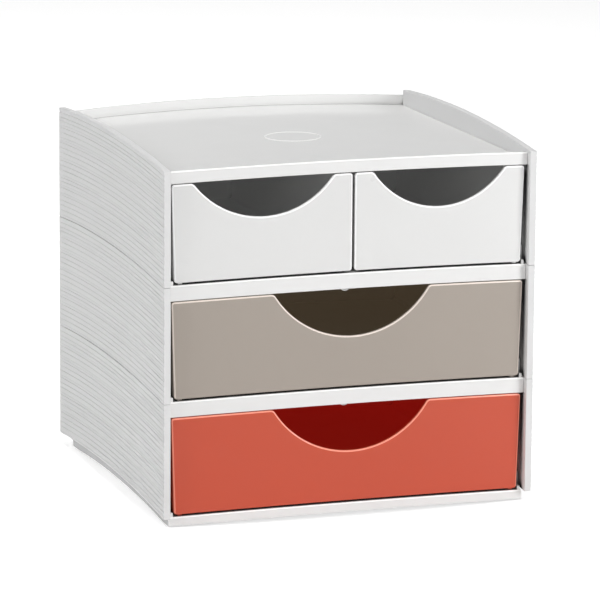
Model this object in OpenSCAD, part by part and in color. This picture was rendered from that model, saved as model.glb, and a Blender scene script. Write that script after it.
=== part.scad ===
// Desktop mini drawers: a three-level casing with two small drawers above two wide ones.
// Millimetres, +Z up, front towards -Y. The origin is on the table, under the middle of the casing.

/* [Casing] */
// Overall width, over the ribbed sides
body_w = 264; // [240:1:290]
// Depth of a side panel, from its front edge to its rear edge
side_depth = 254; // [220:1:290]
// Thickness of a side panel, over its ribs
panel_t = 4.9; // [4.2:0.1:7]
// Height of one level, from the top of one shelf to the top of the next
level_h = 79.4; // [72:0.2:95]
// Height of the front edge of a shelf
shelf_edge_h = 10.6; // [9:0.1:14]
// Height of the front edge of the bottom floor
floor_edge_h = 6.4; // [5.5:0.1:9]
// Height of the front edge of the top tray
tray_edge_h = 8.5; // [7.5:0.1:12]
// Thickness of the shelves, the floor and the tray
plate_t = 2.4; // [1.8:0.1:3]
// Thickness of the upright edges under the plates
skirt_t = 2.2; // [1.6:0.1:2.4]
// Thickness of a back panel
back_t = 2.5; // [2:0.1:4]
// How far a flange reaches below its lowest peg holes
flange_land = 0.8; // [0.6:0.1:1.5]
// How far a side flange stands above its shelf
flange_rise = 12; // [11:0.5:16]

/* [Curves] */
// Rise of the ribs and edges of the sides, at half their depth
side_arch = 5.4; // [3:0.1:8]
// Rise of the front edges, at half their width
front_arch = 3.1; // [1.5:0.1:4]
// How far the front bows out, at half its width
front_bow = 8.2; // [5:0.1:11]
// How far the back bows out, at half its width
back_bow = 9.8; // [5:0.1:14]
// Setback of the shelf edges behind the front edges of the sides
front_recess = 5.2; // [3:0.1:8]
// Rise of the lower edge of the plinth, at half its depth
plinth_arch = 4; // [2:0.1:4.5]

/* [Side ribs] */
// Depth of the groove between two ribs
groove_d = 0.7; // [0.4:0.05:1]
// Width of the groove at the surface
groove_w = 0.9; // [0.5:0.05:1.2]
// How far the narrow ribs stand back
rib_step = 0.3; // [0:0.05:0.4]

/* [Tray] */
// Depth of the tray below its front edge
tray_drop = 4.9; // [4.5:0.1:5.5]
// Fall of the tray floor from front to back
tray_fall = 4.6; // [2:0.1:5]
// Height of the back rim above the tray floor
rim_h = 7; // [5:0.1:9]
// Diameter of the plain round dish in the middle of the tray
dish_d = 37; // [25:1:50]
// Depth of the round dish
dish_depth = 0.6; // [0.4:0.1:1]
// Width of the raised ring around the dish
dish_ring = 1.6; // [1:0.1:3]

/* [Drawers] */
// Gap below a drawer front, which its runners bridge
drawer_gap = 1.4; // [1:0.1:2]
// Gap above a drawer front
top_gap = 0.7; // [0.6:0.1:1.2]
// Gap between a drawer front and the side panel, at the top
front_side_gap = 2; // [1.7:0.1:3]
// Gap between the two small drawers
middle_gap = 1.8; // [1.4:0.1:2.4]
// Inward slope of a drawer front's outer edge, over its height
front_draft = 2.1; // [1.5:0.1:3]
// Thickness of a drawer front
front_t = 2.6; // [2:0.1:3.5]
// Setback of the drawer fronts behind the shelf edges
front_setback = 0.4; // [0.2:0.1:1]
// Radius of a drawer front's corners
corner_r = 2; // [1:0.1:3]
// Thickness of a drawer's sides and back
wall_t = 2; // [1.5:0.1:2.6]
// Thickness of a drawer's bottom
base_t = 2; // [1.5:0.1:2.6]
// How much lower than its front a wide drawer's walls are
wall_drop = 1.2; // [0.6:0.1:4]
// How much lower than its front a small drawer's walls are
small_wall_drop = 3.9; // [3.6:0.1:6]
// Inward slope of a drawer's sides, over their height
wall_draft = 1.4; // [0.6:0.1:1.6]
// Room between the rear of a drawer and the rear of the side panels
rear_room = 3; // [2.5:0.5:20]
// Radius of the finger scoop in a wide front
wide_scoop_r = 64; // [50:1:75]
// Depth of the finger scoop in a wide front
wide_scoop_d = 31.9; // [20:0.1:38]
// Radius of the finger scoop in a small front
small_scoop_r = 58.7; // [45:0.1:62]
// Depth of the finger scoop in a small front
small_scoop_d = 25.7; // [16:0.1:28]
// Radius of the shoulders of a scoop
shoulder_r = 4; // [2:0.5:6]
// Width of the runners under a drawer
runner_w = 3.2; // [2.6:0.1:6]

/* [Guides and fixings] */
// Width of a guide lip beside the drawers
guide_w = 2; // [1.5:0.1:2.5]
// Height of a guide lip above its shelf
guide_h = 3.1; // [2:0.1:4]
// Thickness of the divider between the small drawers
divider_t = 1.4; // [1.2:0.1:1.6]
// Setback of the divider behind the front edges of the sides
divider_setback = 16; // [14:1:30]
// Diameter of a fixing peg
peg_d = 5; // [4:0.1:6]
// Distance from the middle of the casing to a fixing peg, along its depth
peg_pitch = 80; // [50:1:95]
// Width of a wide drawer's stop tab
stop_w = 7; // [6:0.5:10]
// Width of a small drawer's stop tab
small_stop_w = 7; // [6:0.5:10]
// Thickness of a stop tab
stop_t = 2.4; // [2:0.1:3]
// Distance of a stop tab behind the front edges of the sides
stop_setback = 14; // [12:0.5:30]
// How far a wide drawer's stop tab hangs below the top of the rear wall
stop_catch = 3.3; // [2:0.1:5]
// How far a small drawer's stop tab hangs below the top of the rear wall
small_stop_catch = 2.4; // [1.5:0.1:4]
// Diameter of a foot pad
foot_d = 12; // [8:0.5:16]
// How far a foot pad stands below the floor's edge
foot_proud = 0.6; // [0.4:0.1:1.5]
// Thickness of a foot pad
foot_t = 1.4; // [1.2:0.1:1.8]
// Clearance between fitted pieces
fit = 0.2; // [0.1:0.05:0.3]
// Gap between two stacked side panels
seam_gap = 0.5; // [0.4:0.1:0.8]
// Height of a side panel's lower edge above its shelf
panel_lift = 0; // [0:0.1:1.5]
// How much lower the top side panels are than the others
top_trim = 0.4; // [0:0.1:2]

/* [Hidden] */

white_plastic = [0.93, 0.93, 0.92];
side_plastic = [0.86, 0.86, 0.85];
taupe_plastic = [0.64, 0.58, 0.52];
coral_plastic = [0.80, 0.30, 0.22];
rubber = [0.35, 0.35, 0.36];

arc_fn = 720;      // segments of the very large arcs
round_fn = 48;     // segments of the small rounds
arc_step = 4;      // degrees between two points of a scoop
corner_step = 15;  // degrees between two points of a rounded corner
edge_step = 10;    // distance between two points of an arched edge
over = 1;          // how far a cutting body passes a face
scoop_rise = 4;    // how far a scoop's outline passes the upper edge

// Ribs of one side panel from its lower edge up: wide, medium and narrow.
rib_pattern = "nwwwwnwnmmnwwwnwwwnnwwnmmww";
medium_rib = 0.75; // share of a wide rib
narrow_rib = 0.57; // share of a wide rib

// Widths, measured from the middle of the casing.
half_w = body_w / 2;
in_half = half_w - panel_t;
shelf_half = in_half - fit;
back_half = half_w - groove_d;

// Depths. The bowed front may stand proud of the side panels.
front_crest = front_recess - front_bow;
back_crest = side_depth + fit + back_bow + back_t;
y_panel = -(min(0, front_crest) + back_crest) / 2;
y_rear = y_panel + side_depth;
y_mid = y_panel + side_depth / 2;
y_crest = y_panel + front_crest;
y_back = y_panel + back_crest;
front_r = bow_radius(in_half, front_bow);
back_r = bow_radius(back_half, back_bow) + back_t;
arch_r = bow_radius(in_half, front_arch);
side_r = bow_radius(side_depth / 2, side_arch);

// Heights. Level 0 is the lowest.
panel_h = level_h - seam_gap;
opening_h = level_h - shelf_edge_h;
tray_top_z = shelf_bottom(3) + tray_edge_h;
tray_floor_z = tray_top_z - tray_drop;
tray_slope = atan(tray_fall / side_depth);

// Side flanges, guide lips and pegs.
flange_x = shelf_half - skirt_t;
flange_setback = 12;
y_flange = y_panel + flange_setback;
flange_end = 1;
peg_drop = 2;
peg_rise = 7;
guide_clear = 0.7;
plinth_short = 12;
plinth_r = 4;
back_peg_x = 85;
back_peg_reach = 5;

// Drawers.
front_half = in_half - front_side_gap;
guide_x = front_half - front_draft + guide_clear;
wall_inset = 1.1;
inner_inset = 1.2;
inner_draft = 0.8;
runner_inset = 2.2;
runner_gap = 0.2;
runner_lead = 1;
y_box = y_rear - rear_room;

// Ribs under the plates, and places of the feet.
web_t = 1.6;
web_x = [32, 96];
web_lift = 1.5;
foot_x = 106;
foot_inset = 26;
foot_boss = 1.6;
foot_pocket = 0.8;

stop_neck_w = 5;
stop_flat = 0.4;
stop_x = front_half - wall_inset - wall_draft - wall_t - small_stop_w / 2 - 1;
stop_neck_t = 1.4;
stop_neck_h = 1;
slot_w = 10;
slot_pitch = 70;

// Radius of the arc that rises by `rise` over half a chord of `half`.
function bow_radius(half, rise) = (half * half + rise * rise) / (2 * rise);

// Height of the front arch above its ends, at a distance x from the middle.
function arch_at(x) = sqrt(arch_r * arch_r - x * x) - (arch_r - front_arch);

// Top and bottom of the shelf that carries a level, measured at its ends.
function shelf_top(level) = foot_proud + floor_edge_h + level * level_h;
function shelf_bottom(level) = shelf_top(level) - shelf_edge_h;

// Height of the pegs that fix the panels of a level to the shelf above.
function upper_peg_z(level) =
    level < 2 ? shelf_bottom(level + 1) - peg_drop : tray_z(y_rear) - plate_t - peg_d / 2 - over;

// Lower end of the flanges under the shelf above a level.
function flange_low(level) = upper_peg_z(level) - peg_d / 2 - flange_land;

// Upper edge of a drawer front on a level, measured at the ends of the shelf above.
function front_top(level) = shelf_bottom(level + 1) - top_gap;

// Height of the tray floor, at its ends, at a place y.
function tray_z(y) = tray_floor_z - (y - y_panel) * tan(tray_slope);

function rib_share(kind) = kind == "w" ? 1 : kind == "m" ? medium_rib : narrow_rib;
function rib_sum(n) = n == 0 ? 0 : rib_sum(n - 1) + rib_share(rib_pattern[n - 1]);
function unit(v) = v / norm(v);

// ---- flat outlines and ways to extrude them ----

// Extrudes a plan outline from z0 to z1.
module rise(z0, z1) {
    translate([0, 0, z0]) linear_extrude(z1 - z0) children();
}

// Extrudes an outline drawn in x and z, from y0 back to y1.
module run_back(y0, y1) {
    translate([0, y1, 0]) rotate([90, 0, 0]) linear_extrude(y1 - y0) children();
}

// Extrudes an outline drawn in y and z, from x0 to x1.
module run_across(x0, x1) {
    translate([x0, 0, 0]) rotate([90, 0, 90]) linear_extrude(x1 - x0) children();
}

// A rectangle from its lower left to its upper right corner.
module sheet(x0, y0, x1, y1) {
    translate([x0, y0]) square([x1 - x0, y1 - y0]);
}

// Plan region behind the bowed front, moved back by inset.
module behind_front(inset) {
    translate([0, y_crest + front_r]) circle(front_r - inset, $fn = arc_fn);
}

// Plan region in front of the bowed back, moved forward by inset.
module before_back(inset) {
    translate([0, y_back - back_r]) circle(back_r - inset, $fn = arc_fn);
}

// Elevation region under an arch whose ends are at height z.
module under_arch(z) {
    translate([0, z + front_arch - arch_r]) circle(arch_r, $fn = arc_fn);
}

// Elevation band between two arches, out to half a width.
module arch_band(z0, z1, half) {
    intersection() {
        difference() {
            under_arch(z1);
            under_arch(z0);
        }
        sheet(-half, z0 - over, half, z1 + front_arch + over);
    }
}

// What is cut away to round corner p between the edges towards a and b.
module corner_cut(p, a, b, r) {
    u = unit(a - p);
    v = unit(b - p);
    half_angle = acos(u * v) / 2;
    reach = r / tan(half_angle);
    inward = unit(u + v);
    centre = p + inward * r / sin(half_angle);
    past_u = unit(u * (u * v) - v) * over;
    past_v = unit(v * (u * v) - u) * over;
    difference() {
        polygon([p - inward * 2 * over, p + u * reach + past_u, p + u * reach, centre,
                 p + v * reach, p + v * reach + past_v]);
        translate(centre) circle(r, $fn = round_fn);
    }
}

// Repeats its child on the left and on the right.
module both_sides() {
    for (turn = [0, 1]) mirror([turn, 0, 0]) children();
}

// ---- the casing ----

// Plan of a plate, between the bowed front and the back panel.
module plate_plan() {
    intersection() {
        behind_front(0);
        before_back(back_t + fit);
    }
}

// Plate of a shelf, arched like the front edge.
module shelf_plate(z_top) {
    intersection() {
        run_back(y_crest - over, y_back) arch_band(z_top - plate_t, z_top, shelf_half);
        rise(z_top - plate_t - over, z_top + front_arch + over) plate_plan();
    }
}

// Upright front edge that follows the bow and the arch.
module front_edge(z_bottom, z_top) {
    intersection() {
        run_back(y_crest - over, y_mid) arch_band(z_bottom, z_top, shelf_half);
        rise(z_bottom - over, z_top + front_arch + over) difference() {
            behind_front(0);
            behind_front(skirt_t);
        }
    }
}

// Upright rear edge along the back panel.
module rear_edge(z_bottom, z_top) {
    intersection() {
        run_back(y_mid, y_back) arch_band(z_bottom, z_top, shelf_half);
        rise(z_bottom - over, z_top + front_arch + over) difference() {
            before_back(back_t + fit);
            before_back(back_t + fit + skirt_t);
        }
    }
}

// Upright side flange, with a shorter stretch behind the front edge.
module side_flange(z_low, z_high, z_bottom, z_top) {
    front_y = y_panel + front_recess + skirt_t / 2;
    both_sides() run_across(flange_x, shelf_half) {
        sheet(y_flange, z_low, y_rear - flange_end, z_high);
        sheet(front_y, z_bottom, y_flange + over, z_top);
    }
}

// Guide lips on both sides of the drawers.
module guide_lips(z_top) {
    intersection() {
        both_sides() run_across(guide_x, guide_x + guide_w)
            sheet(y_crest, z_top - plate_t / 2, y_rear - flange_end, z_top + guide_h);
        rise(z_top - plate_t, z_top + guide_h + over) behind_front(0);
    }
}

// Straight webs that stiffen a plate from below.
module webs(z_bottom, z_top, y_end) {
    y0 = y_panel + front_recess;
    both_sides() for (x = web_x)
        translate([x - web_t / 2, y0, z_bottom + web_lift])
            cube([web_t, y_end - y0, z_top + arch_at(x) - z_bottom - web_lift - plate_t / 2]);
}

// Peg holes through the side flanges at height z.
module side_peg_holes(z) {
    both_sides() for (y = [-peg_pitch, peg_pitch])
        translate([flange_x - over, y_mid + y, z]) rotate([0, 90, 0])
            cylinder(d = peg_d + fit, h = skirt_t + 2 * over, $fn = round_fn);
}

// Peg holes through the rear edge at height z.
module rear_peg_holes(z) {
    both_sides() translate([back_peg_x, y_rear - back_peg_reach - over, z]) rotate([-90, 0, 0])
        cylinder(d = peg_d + fit, h = back_peg_reach + back_bow + over, $fn = round_fn);
}

// Blind pocket that takes the neck of a stop tab, cut up into a plate from height z.
module stop_pocket(x, z) {
    w = stop_neck_w + 2 * fit;
    t = stop_neck_t + 2 * fit;
    y = y_panel + stop_setback + stop_t / 2;
    translate([x - w / 2, y - t / 2, z - over]) cube([w, t, stop_neck_h + fit + over]);
}

module floor_plinth(z_top) {
    y_end = y_rear - plinth_short;
    y_start = y_panel + front_recess + skirt_t / 2;
    // side walls of the plinth
    both_sides() run_across(flange_x, shelf_half) sheet(y_start, foot_proud, y_end - plinth_r, z_top);
    // rear wall of the plinth, with rounded ends
    rise(foot_proud, z_top) difference() {
        sheet(-shelf_half, y_end - skirt_t, shelf_half, y_end);
        both_sides() corner_cut([shelf_half, y_end], [0, y_end], [shelf_half, 0], plinth_r);
    }
    both_sides() rise(foot_proud, z_top) intersection() {
        sheet(shelf_half - plinth_r, y_end - plinth_r, shelf_half, y_end);
        difference() {
            translate([shelf_half - plinth_r, y_end - plinth_r]) circle(plinth_r, $fn = round_fn);
            translate([shelf_half - plinth_r, y_end - plinth_r]) circle(plinth_r - skirt_t, $fn = round_fn);
        }
    }
}

// Cuts the arched lower edge of the plinth's side walls.
module plinth_arch_cut() {
    half = (side_depth - plinth_short - front_recess) / 2 - foot_inset / 2;
    r = bow_radius(half, plinth_arch);
    y_centre = y_mid + (front_recess - plinth_short) / 2;
    both_sides() run_across(flange_x - over, shelf_half + over)
        translate([y_centre, foot_proud + plinth_arch - r]) circle(r, $fn = arc_fn);
}

// Runs its child at the place of each foot.
module at_feet() {
    for (x = [-foot_x, foot_x], y = [y_panel + foot_inset, y_rear - foot_inset - plinth_short])
        translate([x, y, 0]) children();
}

module bottom_floor() {
    z_top = shelf_top(0);
    color(white_plastic) difference() {
        union() {
            shelf_plate(z_top);
            front_edge(foot_proud, z_top);
            floor_plinth(z_top - plate_t / 2);
            side_flange(z_top - plate_t, z_top + flange_rise, foot_proud, z_top);
            guide_lips(z_top);
            webs(foot_proud, z_top, y_rear - plinth_short - skirt_t / 2);
            at_feet() translate([0, 0, foot_proud + foot_pocket - foot_boss / 2])
                cylinder(d = foot_d + 2 * foot_boss, h = z_top - plate_t / 2 - foot_proud, $fn = round_fn);
        }
        plinth_arch_cut();
        side_peg_holes(z_top + peg_rise);
        at_feet() translate([0, 0, -over])
            cylinder(d = foot_d + fit, h = foot_t + over, $fn = round_fn);
    }
}

module shelf(level, stop_places) {
    z_top = shelf_top(level);
    z_bottom = shelf_bottom(level);
    difference() {
        union() {
            shelf_plate(z_top);
            front_edge(z_bottom, z_top);
            rear_edge(flange_low(level - 1), z_top);
            side_flange(flange_low(level - 1), z_top + flange_rise, z_bottom, z_top);
            guide_lips(z_top);
            webs(z_bottom, z_top, y_rear);
        }
        side_peg_holes(z_top + peg_rise);
        side_peg_holes(upper_peg_z(level - 1));
        rear_peg_holes(upper_peg_z(level - 1));
        for (x = stop_places) stop_pocket(x, z_top - plate_t + arch_at(x));
    }
}

module lower_shelf() {
    color(white_plastic) shelf(1, [0]);
}

module upper_shelf() {
    color(white_plastic) difference() {
        shelf(2, [0]);
        // slots for the divider's tabs
        for (y = [-slot_pitch, slot_pitch])
            translate([-divider_t / 2 - fit, y_mid + y - slot_w / 2 - fit, shelf_top(2) - plate_t])
                cube([divider_t + 2 * fit, slot_w + 2 * fit, plate_t + front_arch + over]);
    }
}

// Tilts its child down to the back, about the front ends of the tray floor.
module tilt_back() {
    translate([0, y_panel, tray_floor_z]) rotate([-tray_slope, 0, 0])
        translate([0, -y_panel, -tray_floor_z]) children();
}

// Arched slab under the tilted tray floor, from z0 to z1 as measured at the tray's front.
module tray_slab(z0, z1) {
    tilt_back() run_back(y_crest - tray_fall, y_back + tray_fall) arch_band(z0, z1, shelf_half);
}

module top_tray() {
    z_low = flange_low(2);
    dish_z = tray_floor_z + front_arch;
    color(white_plastic) difference() {
        union() {
            intersection() {
                tray_slab(tray_floor_z - plate_t, tray_floor_z);
                rise(z_low, tray_top_z + front_arch) plate_plan();
            }
            front_edge(shelf_bottom(3), tray_top_z);
            // the edges under the tray floor stay below its surface
            intersection() {
                union() {
                    rear_edge(z_low, tray_top_z);
                    side_flange(z_low, tray_top_z, shelf_bottom(3), tray_top_z);
                }
                tray_slab(z_low - 2 * tray_fall, tray_floor_z - plate_t / 2);
            }
            tilt_back() translate([0, y_mid, dish_z - plate_t / 2])
                cylinder(d = dish_d + 2 * dish_ring, h = plate_t / 2 + dish_depth / 2, $fn = 2 * round_fn);
        }
        side_peg_holes(upper_peg_z(2));
        rear_peg_holes(upper_peg_z(2));
        tilt_back() translate([0, y_mid, dish_z - dish_depth])
            cylinder(d = dish_d, h = 2 * dish_depth + over, $fn = 2 * round_fn);
        for (x = [-stop_x, stop_x])
            stop_pocket(x, tray_z(y_panel + stop_setback) - plate_t + arch_at(x));
    }
}

// Section of a side panel of height h: its height, from z, against the distance from the
// middle of the casing. The ribs stand on the outer face.
module panel_section(z, h) {
    rib_unit = panel_h / rib_sum(len(rib_pattern));
    ribs = [for (i = [0:len(rib_pattern) - 1])
        let (low = rib_sum(i) * rib_unit + groove_w / 2,
             high = min(rib_sum(i + 1) * rib_unit - groove_w / 2, h),
             face = half_w - (rib_pattern[i] == "n" ? rib_step : 0))
        each [[low, half_w - groove_d], [low, face], [high, face], [high, half_w - groove_d]]];
    translate([z, 0])
        polygon(concat([[0, in_half], [0, half_w - groove_d]], ribs, [[h, half_w - groove_d], [h, in_half]]));
}

// Left side panel of a level: its section is swept along the shallow side arch.
module left_side(level) {
    z0 = shelf_top(level) + panel_lift;
    sweep = 2 * asin((side_depth / 2 + 2 * over) / side_r);
    color(side_plastic) union() {
        intersection() {
            translate([0, y_mid, z0 + side_arch - side_r]) rotate([0, -90, 0])
                rotate([0, 0, -sweep / 2])
                    rotate_extrude(angle = sweep, $fn = arc_fn)
                        panel_section(side_r, panel_h - (level == 2 ? top_trim : 0));
            translate([-half_w - over, y_panel, z0 - over])
                cube([panel_t + 2 * over, side_depth, level_h + side_arch + 2 * over]);
        }
        for (y = [-peg_pitch, peg_pitch],
             z = [shelf_top(level) + peg_rise, upper_peg_z(level)])
            translate([-in_half - panel_t / 2, y_mid + y, z]) rotate([0, 90, 0])
                cylinder(d = peg_d, h = panel_t / 2 + fit + skirt_t, $fn = round_fn);
    }
}

module right_side(level) {
    mirror([1, 0, 0]) left_side(level);
}

// Bowed back panel of a level, with two pegs for the rear edge of the shelf above.
module back_panel(level, z_high) {
    z_low = shelf_top(level) + fit;
    color(side_plastic) union() {
        intersection() {
            run_back(y_mid, y_back + over) arch_band(z_low, z_high, back_half);
            rise(z_low - over, z_high + front_arch + over) difference() {
                before_back(0);
                before_back(back_t);
            }
        }
        intersection() {
            both_sides() translate([back_peg_x, y_rear - back_peg_reach, upper_peg_z(level)])
                rotate([-90, 0, 0])
                    cylinder(d = peg_d, h = back_peg_reach + back_bow, $fn = round_fn);
            rise(z_low, z_high) difference() {
                before_back(back_t / 2);
                before_back(back_t + fit + skirt_t + 1);
            }
        }
    }
}

// Upright divider between the small drawers, with tabs that drop into the shelf.
module drawer_divider() {
    z_low = shelf_top(2) + front_arch + fit;
    y0 = y_panel + divider_setback;
    y1 = y_rear - rear_room;
    z_front = tray_z(y0) + front_arch - plate_t - 2 * fit;
    z_rear = tray_z(y1) + front_arch - plate_t - 2 * fit;
    color(white_plastic) run_across(-divider_t / 2, divider_t / 2) {
        polygon([[y0, z_low], [y1, z_low], [y1, z_rear], [y0, z_front]]);
        for (y = [-slot_pitch, slot_pitch])
            sheet(y_mid + y - slot_w / 2, z_low - plate_t, y_mid + y + slot_w / 2, z_low + over);
    }
}

// ---- the drawers ----

// Points of an arc around a centre, from angle a0 to angle a1.
function arc(centre, r, a0, a1, step) =
    let (n = ceil(abs(a1 - a0) / step))
    [for (i = [0:n]) centre + r * [cos(a0 + (a1 - a0) * i / n), sin(a0 + (a1 - a0) * i / n)]];

// Points that round corner p on the way from the edge towards a to the edge towards b.
function rounded(p, a, b, r) =
    let (u = unit(a - p),
         v = unit(b - p),
         half_angle = acos(u * v) / 2,
         centre = p + unit(u + v) * r / sin(half_angle),
         start = p + u * r / tan(half_angle) - centre,
         end = p + v * r / tan(half_angle) - centre,
         turn = atan2(end[1], end[0]) - atan2(start[1], start[0]))
    arc(centre, r, atan2(start[1], start[0]),
        atan2(start[1], start[0]) + turn + (turn > 180 ? -360 : turn < -180 ? 360 : 0), corner_step);

// Points of an arched edge from x0 to x1, whose ends would be at height z.
function arched(x0, x1, z) =
    let (n = ceil(abs(x1 - x0) / edge_step))
    [for (i = [0:n]) let (x = x0 + (x1 - x0) * i / n) [x, z + arch_at(x)]];

// Finger scoop in an arched upper edge, from its right shoulder down and up to its left one.
function scoop_points(x, z, r, depth) =
    let (centre = [x, z + arch_at(x) - depth + r],
         half_mouth = sqrt(r * r - pow(r - depth, 2)) + shoulder_r / 2,
         drops = [for (side = [1, -1]) centre[1] - (z + arch_at(x + side * half_mouth) - shoulder_r)],
         reaches = [for (drop = drops) sqrt(pow(r + shoulder_r, 2) - drop * drop)],
         tilts = [for (i = [0, 1]) atan(drops[i] / reaches[i])])
    concat(
        arc([x + reaches[0], centre[1] - drops[0]], shoulder_r, 90, 180 - tilts[0], corner_step),
        arc(centre, r, -tilts[0] - arc_step, tilts[1] - 180 + arc_step, arc_step),
        arc([x - reaches[1], centre[1] - drops[1]], shoulder_r, tilts[1], 90, corner_step));

// Outline of a drawer front between its left and right edges, given at top and bottom.
module front_outline(top_x, bottom_x, z0, z1, scoop) {
    tops = [for (x = top_x) [x, z1 + arch_at(x)]];
    lows = [for (x = bottom_x) [x, z0 + arch_at(x)]];
    in_x = [corner_r, -corner_r];
    top_in = [for (i = [0, 1]) [top_x[i] + in_x[i], z1 + arch_at(top_x[i] + in_x[i])]];
    low_in = [for (i = [0, 1]) [bottom_x[i] + in_x[i], z0 + arch_at(bottom_x[i] + in_x[i])]];
    polygon(concat(
        rounded(lows[0], tops[0], low_in[0], corner_r),
        arched(low_in[0][0] + edge_step, low_in[1][0] - edge_step, z0),
        rounded(lows[1], low_in[1], tops[1], corner_r),
        rounded(tops[1], lows[1], top_in[1], corner_r),
        scoop,
        rounded(tops[0], top_in[0], lows[0], corner_r)
    ));
}

// Section of a drawer's box between its left and right walls, given at top and bottom.
module box_section(top_x, bottom_x, z0, z1) {
    lean = (top_x - bottom_x) / (z1 - z0);
    low = bottom_x - lean * over;
    high = top_x + lean * (front_arch + over);
    intersection() {
        polygon([[low[0], z0 - over], [low[1], z0 - over],
                 [high[1], z1 + front_arch + over], [high[0], z1 + front_arch + over]]);
        arch_band(z0, z1, half_w);
    }
}

// A drawer on a level. edges holds the front's left and right edge at the top, and drafts
// tells how far each slopes inward below. A small drawer has one straight inner edge.
module drawer(level, edges, drafts, drop, scoop_r, scoop_d) {
    z_front = [shelf_top(level) + drawer_gap, front_top(level)];
    z_box = [z_front[0] + fit, z_front[1] - drop];
    lower_edges = [edges[0] + drafts[0], edges[1] - drafts[1]];
    inset = [for (i = [0, 1]) drafts[i] > 0 ? wall_inset : inner_inset];
    slope = [for (i = [0, 1]) drafts[i] > 0 ? wall_draft : inner_draft];
    box_top = [edges[0] + inset[0], edges[1] - inset[1]];
    box_low = [box_top[0] + slope[0], box_top[1] - slope[1]];
    wall = [wall_t, -wall_t];
    scoop = scoop_points((edges[0] + edges[1]) / 2, z_front[1], scoop_r, scoop_d);
    scoop_top = z_front[1] + front_arch + scoop_rise;
    y_face = y_crest + front_setback;
    union() {
        // bowed front
        intersection() {
            run_back(y_face - over, y_mid)
                front_outline(edges, lower_edges, z_front[0], z_front[1], scoop);
            rise(z_front[0] - over, z_front[1] + front_arch + over) difference() {
                behind_front(front_setback);
                behind_front(front_setback + front_t);
            }
        }
        // box behind the front, open at the top
        difference() {
            intersection() {
                run_back(y_face - over, y_box) box_section(box_top, box_low, z_box[0], z_box[1]);
                rise(z_box[0] - over, z_box[1] + front_arch + over)
                    behind_front(front_setback + front_t / 2);
            }
            intersection() {
                run_back(y_face - over, y_box - wall_t)
                    box_section(box_top + wall, box_low + wall, z_box[0] + base_t, z_box[1] + over);
                rise(z_box[0] - over, z_box[1] + front_arch + 3 * over)
                    behind_front(front_setback + front_t);
            }
            run_back(y_face - over, y_mid - side_depth / 4)
                polygon(concat(scoop, [[scoop[len(scoop) - 1][0], scoop_top], [scoop[0][0], scoop_top]]));
        }
        // runners
        for (i = [0, 1]) {
            side = i == 0 ? 1 : -1;
            x0 = box_low[i] + side * runner_inset;
            x1 = x0 + side * runner_w;
            near = min(abs(x0), abs(x1));
            z0 = shelf_top(level) + arch_at(near) + runner_gap;
            translate([min(x0, x1), y_panel + front_recess + runner_lead, z0])
                cube([runner_w, y_box - y_panel - front_recess - runner_lead,
                      z_box[0] + base_t / 2 + arch_at(near) - z0]);
        }
    }
}

module bottom_drawer() {
    color(coral_plastic) drawer(0, [-front_half, front_half], [front_draft, front_draft],
                                wall_drop, wide_scoop_r, wide_scoop_d);
}

module middle_drawer() {
    color(taupe_plastic) drawer(1, [-front_half, front_half], [front_draft, front_draft],
                                wall_drop, wide_scoop_r, wide_scoop_d);
}

module small_drawer_left() {
    color(white_plastic) drawer(2, [-front_half, -middle_gap / 2], [front_draft, 0],
                                small_wall_drop, small_scoop_r, small_scoop_d);
}

module small_drawer_right() {
    mirror([1, 0, 0]) small_drawer_left();
}

// ---- small pieces ----

// Half-round tab of width w that hangs from a plate at height z and stops the rear wall, `drop`
// below its drawer's front edge, of a drawer on a level. It reaches down that wall by `catch`.
module stop_tab(x, w, z, level, drop, catch) {
    z_end = front_top(level) - drop + arch_at(x) - catch;
    y = y_panel + stop_setback;
    translate([x, 0, 0]) run_back(y, y + stop_t) difference() {
        sheet(-w / 2, z_end, w / 2, z - fit);
        for (side = [-1, 1])
            corner_cut([side * w / 2, z_end], [0, z_end], [side * w / 2, z], (w - stop_flat) / 2);
    }
    translate([x - stop_neck_w / 2, y + (stop_t - stop_neck_t) / 2, z - fit - stop_neck_h])
        cube([stop_neck_w, stop_neck_t, 2 * stop_neck_h]);
}

module drawer_stops() {
    color(white_plastic) {
        for (level = [0, 1])
            stop_tab(0, stop_w, shelf_top(level + 1) - plate_t + arch_at(stop_w / 2), level, wall_drop,
                     stop_catch);
        for (side = [-1, 1]) {
            z = tray_z(y_panel + stop_setback + stop_t) - plate_t + arch_at(stop_x + small_stop_w / 2);
            stop_tab(side * stop_x, small_stop_w, z, 2, small_wall_drop, small_stop_catch);
        }
    }
}

module foot_pads() {
    color(rubber) at_feet() cylinder(d = foot_d, h = foot_t, $fn = round_fn);
}

bottom_floor();
lower_shelf();
upper_shelf();
top_tray();
left_side(0);  // bottom_left_side
left_side(1);  // middle_left_side
left_side(2);  // top_left_side
right_side(0);  // bottom_right_side
right_side(1);  // middle_right_side
right_side(2);  // top_right_side
back_panel(0, shelf_top(1));  // bottom_back
back_panel(1, shelf_top(2));  // middle_back
back_panel(2, tray_z(y_rear) + rim_h);  // top_back
drawer_divider();
bottom_drawer();
middle_drawer();
small_drawer_left();
small_drawer_right();
drawer_stops();
foot_pads();
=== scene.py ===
# %% [markdown]
# # Desktop mini drawers
# A small drawer cabinet for a desk: three moulded levels stacked on each other, two small drawers above
# two wide ones, and a shallow tray on top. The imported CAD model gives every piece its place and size. The
# cells below build each visible piece as a clean mesh, give it a plastic finish, and light it.

# %% Load the frame
import math

import bmesh
import bpy
import numpy as np
from mathutils import Matrix, Vector


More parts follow.
